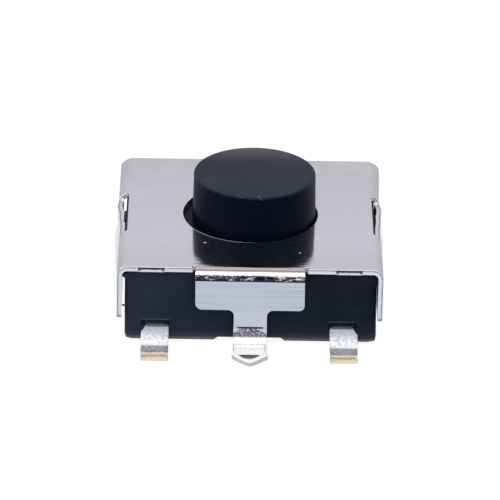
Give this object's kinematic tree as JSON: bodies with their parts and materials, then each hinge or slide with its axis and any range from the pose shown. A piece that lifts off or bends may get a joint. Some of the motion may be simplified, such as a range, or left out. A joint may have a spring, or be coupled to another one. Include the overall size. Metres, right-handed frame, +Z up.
{
  "type": "tactile push button switch",
  "caption": "Low square surface-mount push button with a round black plunger, a folded sheet-metal cover, gull-wing terminals and a ground terminal.",
  "frame": {"origin": "on the axis of the cover's hole, in the plane that the solder feet stand on", "axes": "+Z up along the plunger, -Y to the front with the ground terminal, +X to the right"},
  "size_m": [0.0066, 0.0082, 0.0031],
  "materials": {
    "base_plastic": "moulded, fine matt",
    "plunger_plastic": "moulded, satin",
    "cover_metal": "rolled stainless sheet, near mirror",
    "terminal_metal": "tin-plated, with bare cut ends",
    "dome_metal": "silver-plated spring sheet"
  },
  "bodies": {
    "housing": {"base": "base_plastic", "terminal_left": "terminal_metal", "terminal_right": "terminal_metal", "contact_dome": "dome_metal", "cover": "cover_metal"},
    "plunger": {"plunger": "plunger_plastic"}
  },
  "joints": [
    {"name": "plunger_press", "type": "slide", "parent": "housing", "child": "plunger", "axis": [0, 0, -1], "range_m": [0, 0.00025], "stiffness_N_per_m": 6400, "deforming": ["contact_dome"]}
  ]
}
